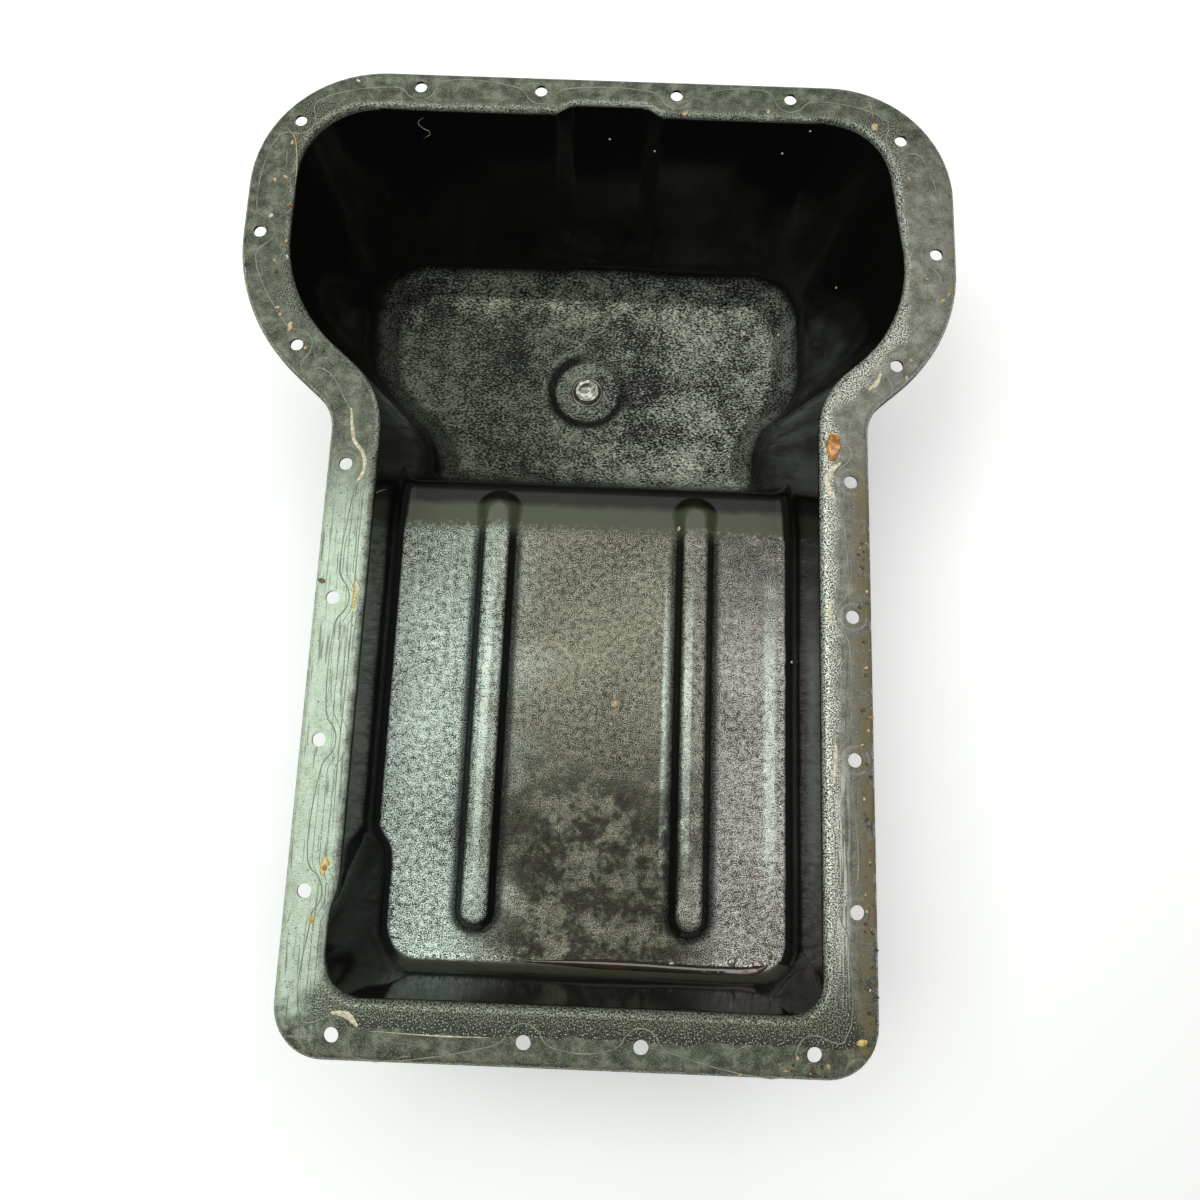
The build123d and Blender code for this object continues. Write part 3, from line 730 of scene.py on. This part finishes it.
# %% Crumbs of dirt
draw = random.Random(11)
crumb_count = 70
flat_depth = 1.5 * MM            # crumbs stay on the flat of the flange, above this depth
crumb_zones = [((136, 141.5), (-165, 90), 0.6), ((95, 130), (-181, -172), 0.2),
               ((-190, -150), (150, 320), 0.2)]
placed = 0
while placed < crumb_count:
    zone_x, zone_y, share = draw.choices(crumb_zones, weights=[zone[2] for zone in crumb_zones])[0]
    px, py = draw.uniform(*zone_x), draw.uniform(*zone_y)
    point, normal = surface(px, py)
    if point is None or point.z < -flat_depth:
        continue
    size = draw.uniform(0.7, 2.0)
    material = draw.choice([brown_grit, tan_grit, brown_grit])
    placed += 1
    chip(f"crumb_{placed:02d}", px, py, size * 1.4, size, draw.uniform(0, 180), material,
         thickness=size * 0.6, corners=6, seed=placed)
print(placed, "crumbs scattered")

# %% [markdown]
# ## Straw and hairs
# A straw lies along the left lobe, and short hairs and sticks cling to the flange and the
# walls. They are beads as well, only thin and round.

# %% Straw and hairs
straw = [(-184.5, 306.6, 0.5), (-179.8, 300.6, 0.6), (-177.4, 290.1, 0.6), (-176.7, 282.7, 0.3),
         (-176.5, 268.5, 0.2)]
bead("straw", straw, 0.7, 0.7, straw_skin)
hairs = [
    [(-146.2, 329.6), (-145.6, 327.2), (-144.4, 325.0)],
    [(-106.6, 326.5), (-103.0, 329.6), (-100.3, 333.7)],
    [(-182.7, 295.1), (-183.0, 288.0), (-182.4, 281.4)],
    [(147.2, 336.3), (148.4, 330.0), (149.1, 322.6)],
    [(134.8, 62.4), (136.4, 61.6), (137.9, 61.3)],
    [(51.1, -165.0), (51.8, -161.6), (51.4, -159.4)],
    [(75.6, -171.1), (79.8, -169.4), (83.0, -168.9)],
    [(-140.9, -125.0), (-139.0, -121.0), (-138.6, -117.0)],
    [(-83.2, -181.3), (-79.0, -179.8), (-75.5, -179.6)]]
for number, points in enumerate(hairs, start=1):
    bead(f"hair_{number}", [(px, py, 0.25) for px, py in points], 0.35, 0.35, straw_skin)
bead("hair_wall_left", [(-117.5, 92.5, -2.8), (-115.6, 96.5, -9.0), (-114.5, 100.0, -17.0)],
     0.4, 0.4, straw_skin)
curl = [(-108.6, 322.2, -6.3), (-113.2, 321.3, -10.5), (-110.6, 320.4, -14.0),
        (-107.3, 319.9, -16.5), (-111.9, 319.0, -20.5)]
bead("hair_curled", curl, 0.3, 0.3, straw_skin)
print(len(hairs) + 3, "hairs laid")

# %% [markdown]
# ## Thick oil
# Oil has run to the front edge of the tray and stands there as a dark, red-brown ridge. Drops
# sit beside it and mirror the lamps, and a collar of oil rings the drain plug.

# %% Oil ridge and drops
ridge = [(-30, -145.0), (11, -145.4), (32, -145.6), (53, -146.2), (74, -146.4), (92, -145.4),
         (99, -142.4)]
bead("oil_ridge", [(px, py, tray_level / MM + 0.6) for px, py in ridge], 5.5, 3.4, thick_oil)
drops = [(48.6, -143.5, 3.2), (80.0, -141.4, 4.2), (89.9, -143.0, 3.0), (97.3, -141.8, 2.6),
         (99.9, -137.6, 3.0), (94.7, -140.4, 2.2), (70.2, -142.8, 2.0)]
for number, (px, py, width) in enumerate(drops, start=1):
    drop(f"oil_drop_{number}", px, py, width, width * 0.3, oil_drop, width * 1.4, 20 * number)
specks = [(-1.3, 324.6), (25.8, 320.0), (114.7, 322.4), (101.6, 319.2), (145.0, 260.4),
          (111.0, 17.6)]
for number, (px, py) in enumerate(specks, start=1):
    drop(f"wall_speck_{number}", px, py, 1.4, 0.4, pale_grit)
print(len(drops), "drops and", len(specks), "specks set")

# %% [markdown]
# ## Drain plug thread
# The end of the plug stands a little above the floor of the sump, and its thread shows as
# fine rings. A small triangle is turned and lifted round the plug by a screw modifier.

# %% Thread and oil collar
plug_radius = 9 * MM
pitch = 1.5 * MM
turns = 1.6
tooth = 0.42 * MM                # half the height of one thread
bare_end = 1.4 * MM              # smooth rim of the plug above the thread
bpy.ops.object.select_all(action="DESELECT")
bpy.ops.mesh.primitive_circle_add(vertices=3, radius=tooth, fill_type="NOTHING",
                                  location=(plug_radius, 0, 0), rotation=(math.pi / 2, 0, 0))
thread = bpy.context.object
bpy.ops.object.transform_apply(location=True, rotation=True, scale=True)
screw = thread.modifiers.new("screw", "SCREW")
screw.steps = screw.render_steps = 48
screw.angle = 2 * math.pi * turns
screw.screw_offset = pitch * turns
screw.use_normal_calculate = True
bpy.ops.object.modifier_apply(modifier="screw")
bpy.ops.object.mode_set(mode="EDIT")
bpy.ops.mesh.select_all(action="SELECT")
bpy.ops.mesh.remove_doubles(threshold=0.00001)
bpy.ops.mesh.fill_holes(sides=3)
bpy.ops.mesh.normals_make_consistent(inside=False)
bpy.ops.object.mode_set(mode="OBJECT")
thread.location = (plug_centre.x, plug_centre.y, plug_high.z - bare_end - pitch * turns)
settle(thread, "drain_thread", metals["drain_plug"], "plug")

collar_points = 24
collar_radius = 10.2
dimple_level = surface(-12, 196)[0].z / MM
collar = []
for step in range(collar_points):
    angle = step * math.tau / collar_points
    collar.append((plug_centre.x / MM + collar_radius * math.cos(angle),
                   plug_centre.y / MM + collar_radius * math.sin(angle), dimple_level + 0.1))
bead("oil_collar", collar, 2.0, 0.9, thick_oil, closed=True)
print("thread and collar made")

# %% [markdown]
# ## The stage
# The pan lies in a wide white bowl: a flat floor that bends up into a wall, so no horizon
# shows from any side. It lies low enough for the plug to come all the way out. It glows a
# little for the camera and in gloss, and its own colour keeps the shadow of the pan.

# %% Sizes of the stage
plug_travel = 13 * MM            # the plug comes down this far when it is screwed out
floor_z = plug_low.z - plug_travel - 1 * MM
bowl_radius = 6.0
bowl_height = 1.0
wall_bend = 0.9                  # width of the bend between the floor and the wall
print("stage floor at", round(floor_z, 4))

# %% Stage finish
stage_finish = Finish("stage_white", Base_Color=(0.95, 0.95, 0.95, 1.0), Roughness=0.95,
                      Specular_IOR_Level=0.0)
to_camera, in_gloss, through_glass = [
    stage_finish.node("ShaderNodeLightPath", {}, output=f"Is {kind} Ray")
    for kind in ("Camera", "Glossy", "Transmission")]
stage_x, stage_y = stage_finish.axes(stage_finish.place())[:2]
far = (stage_x * stage_x + stage_y * stage_y).rise(0.25, 1.4)
seen = to_camera.most(in_gloss).most(through_glass) * between(far, 0.26, 1.0)
own_light = Wire(stage_finish, stage_finish.shader.outputs[0])
glow = stage_finish.node("ShaderNodeEmission", {}, Strength=1.0)
lit = stage_finish.node("ShaderNodeAddShader", {}, own_light, glow)
shown = stage_finish.node("ShaderNodeMixShader", {}, seen, own_light, lit)
stage_finish.tree.links.new(shown.socket, stage_finish.tree.nodes["Material Output"].inputs[0])
print("stage finish is ready")

# %% Bowl without its lid
bpy.ops.object.select_all(action="DESELECT")
bpy.ops.mesh.primitive_cylinder_add(vertices=96, radius=bowl_radius, depth=bowl_height,
                                    location=(0, 0, floor_z + bowl_height / 2))
bowl = bpy.context.object
bowl.name = "stage_bowl"
bpy.ops.object.transform_apply(location=True, rotation=True, scale=True)
bpy.ops.object.mode_set(mode="EDIT")
bpy.ops.mesh.select_mode(type="FACE")
bpy.ops.mesh.select_all(action="DESELECT")
bpy.ops.object.mode_set(mode="OBJECT")
for face in bowl.data.polygons:
    face.select = face.normal.z > 0.9
bpy.ops.object.mode_set(mode="EDIT")
bpy.ops.mesh.delete(type="FACE")
bpy.ops.object.mode_set(mode="OBJECT")
print("the lid is off, and", len(bowl.data.polygons), "faces are left")

# %% Bend of the floor into the wall
bpy.ops.object.mode_set(mode="EDIT")
bpy.ops.mesh.select_mode(type="EDGE")
bpy.ops.object.mode_set(mode="OBJECT")
for edge in bowl.data.edges:
    ends = [bowl.data.vertices[index].co.z for index in edge.vertices]
    edge.select = max(ends) < floor_z + MM
bpy.ops.object.mode_set(mode="EDIT")
bpy.ops.mesh.bevel(offset=wall_bend, segments=12)
bpy.ops.mesh.select_all(action="SELECT")
bpy.ops.mesh.flip_normals()
bpy.ops.object.mode_set(mode="OBJECT")
bpy.ops.object.shade_smooth()
bowl.data.materials.append(stage_finish.material)
print("stage bowl made")

# %% [markdown]
# ## Light
# Wet metal shows the lamps themselves, so their places decide where the floor glitters. The
# left lamp is broad and a little green, the right one narrow and a little pink, and the rear
# one lights the sump. The gap between them, right above the tray, stays dark. The sky is dim
# too, and white only to the camera, because a white sky would fill the black walls with gloss.

# %% Sky
world = bpy.data.worlds.new("studio")
bpy.context.scene.world = world
world.use_nodes = True
sky = Tree(world.node_tree)
sky_light = sky.node("ShaderNodeBackground", {}, Color=(0.96, 1.0, 0.96), Strength=0.17)
sky_seen = sky.node("ShaderNodeBackground", {}, Color=(1.0, 1.0, 1.0), Strength=1.0)
camera_ray = sky.node("ShaderNodeLightPath", {}, output="Is Camera Ray")
sky_shown = sky.node("ShaderNodeMixShader", {}, camera_ray, sky_light, sky_seen)
sky.tree.links.new(sky_shown.socket, sky.tree.nodes["World Output"].inputs["Surface"])
print("sky is ready")


# %% Lamps
def soft_light(name, centre, size, radiance, colour):
    """A rectangular lamp over the part that shines straight down."""
    data = bpy.data.lights.new(name, "AREA")
    data.shape = "RECTANGLE"
    data.size, data.size_y = size
    data.energy = radiance * size[0] * size[1] * math.pi
    data.color = colour
    lamp = bpy.data.objects.new(name, data)
    lamp.location = centre
    lamp.visible_camera = False
    bpy.context.scene.collection.objects.link(lamp)


lamp_height = 1.2
soft_light("left_light", (-0.56, 0.12, lamp_height), (0.68, 0.8), 6.0, (0.93, 1.0, 0.94))
soft_light("right_light", (0.46, 0.18, lamp_height), (0.42, 1.1), 3.4, (1.0, 0.95, 0.98))
soft_light("rear_light", (0.0, 0.72, lamp_height), (0.9, 1.1), 2.4, (0.97, 1.0, 0.95))
print("three lamps hang at", lamp_height, "m")

# %% Camera
camera_place = (0.0069, -0.0484, 0.4517)
camera_tilt, camera_roll, camera_turn = 11.061, -0.033, 2.204
lens = 27.0
sensor = 36.0
view = bpy.data.cameras.new("camera")
view.lens = lens
view.sensor_width = sensor
camera = bpy.data.objects.new("camera", view)
camera.location = camera_place
camera.rotation_euler = [math.radians(a) for a in (camera_tilt, camera_roll, camera_turn)]
bpy.context.scene.collection.objects.link(camera)
bpy.context.scene.camera = camera
bpy.context.scene.view_settings.view_transform = "Standard"
print("camera set with a lens of", lens, "mm")
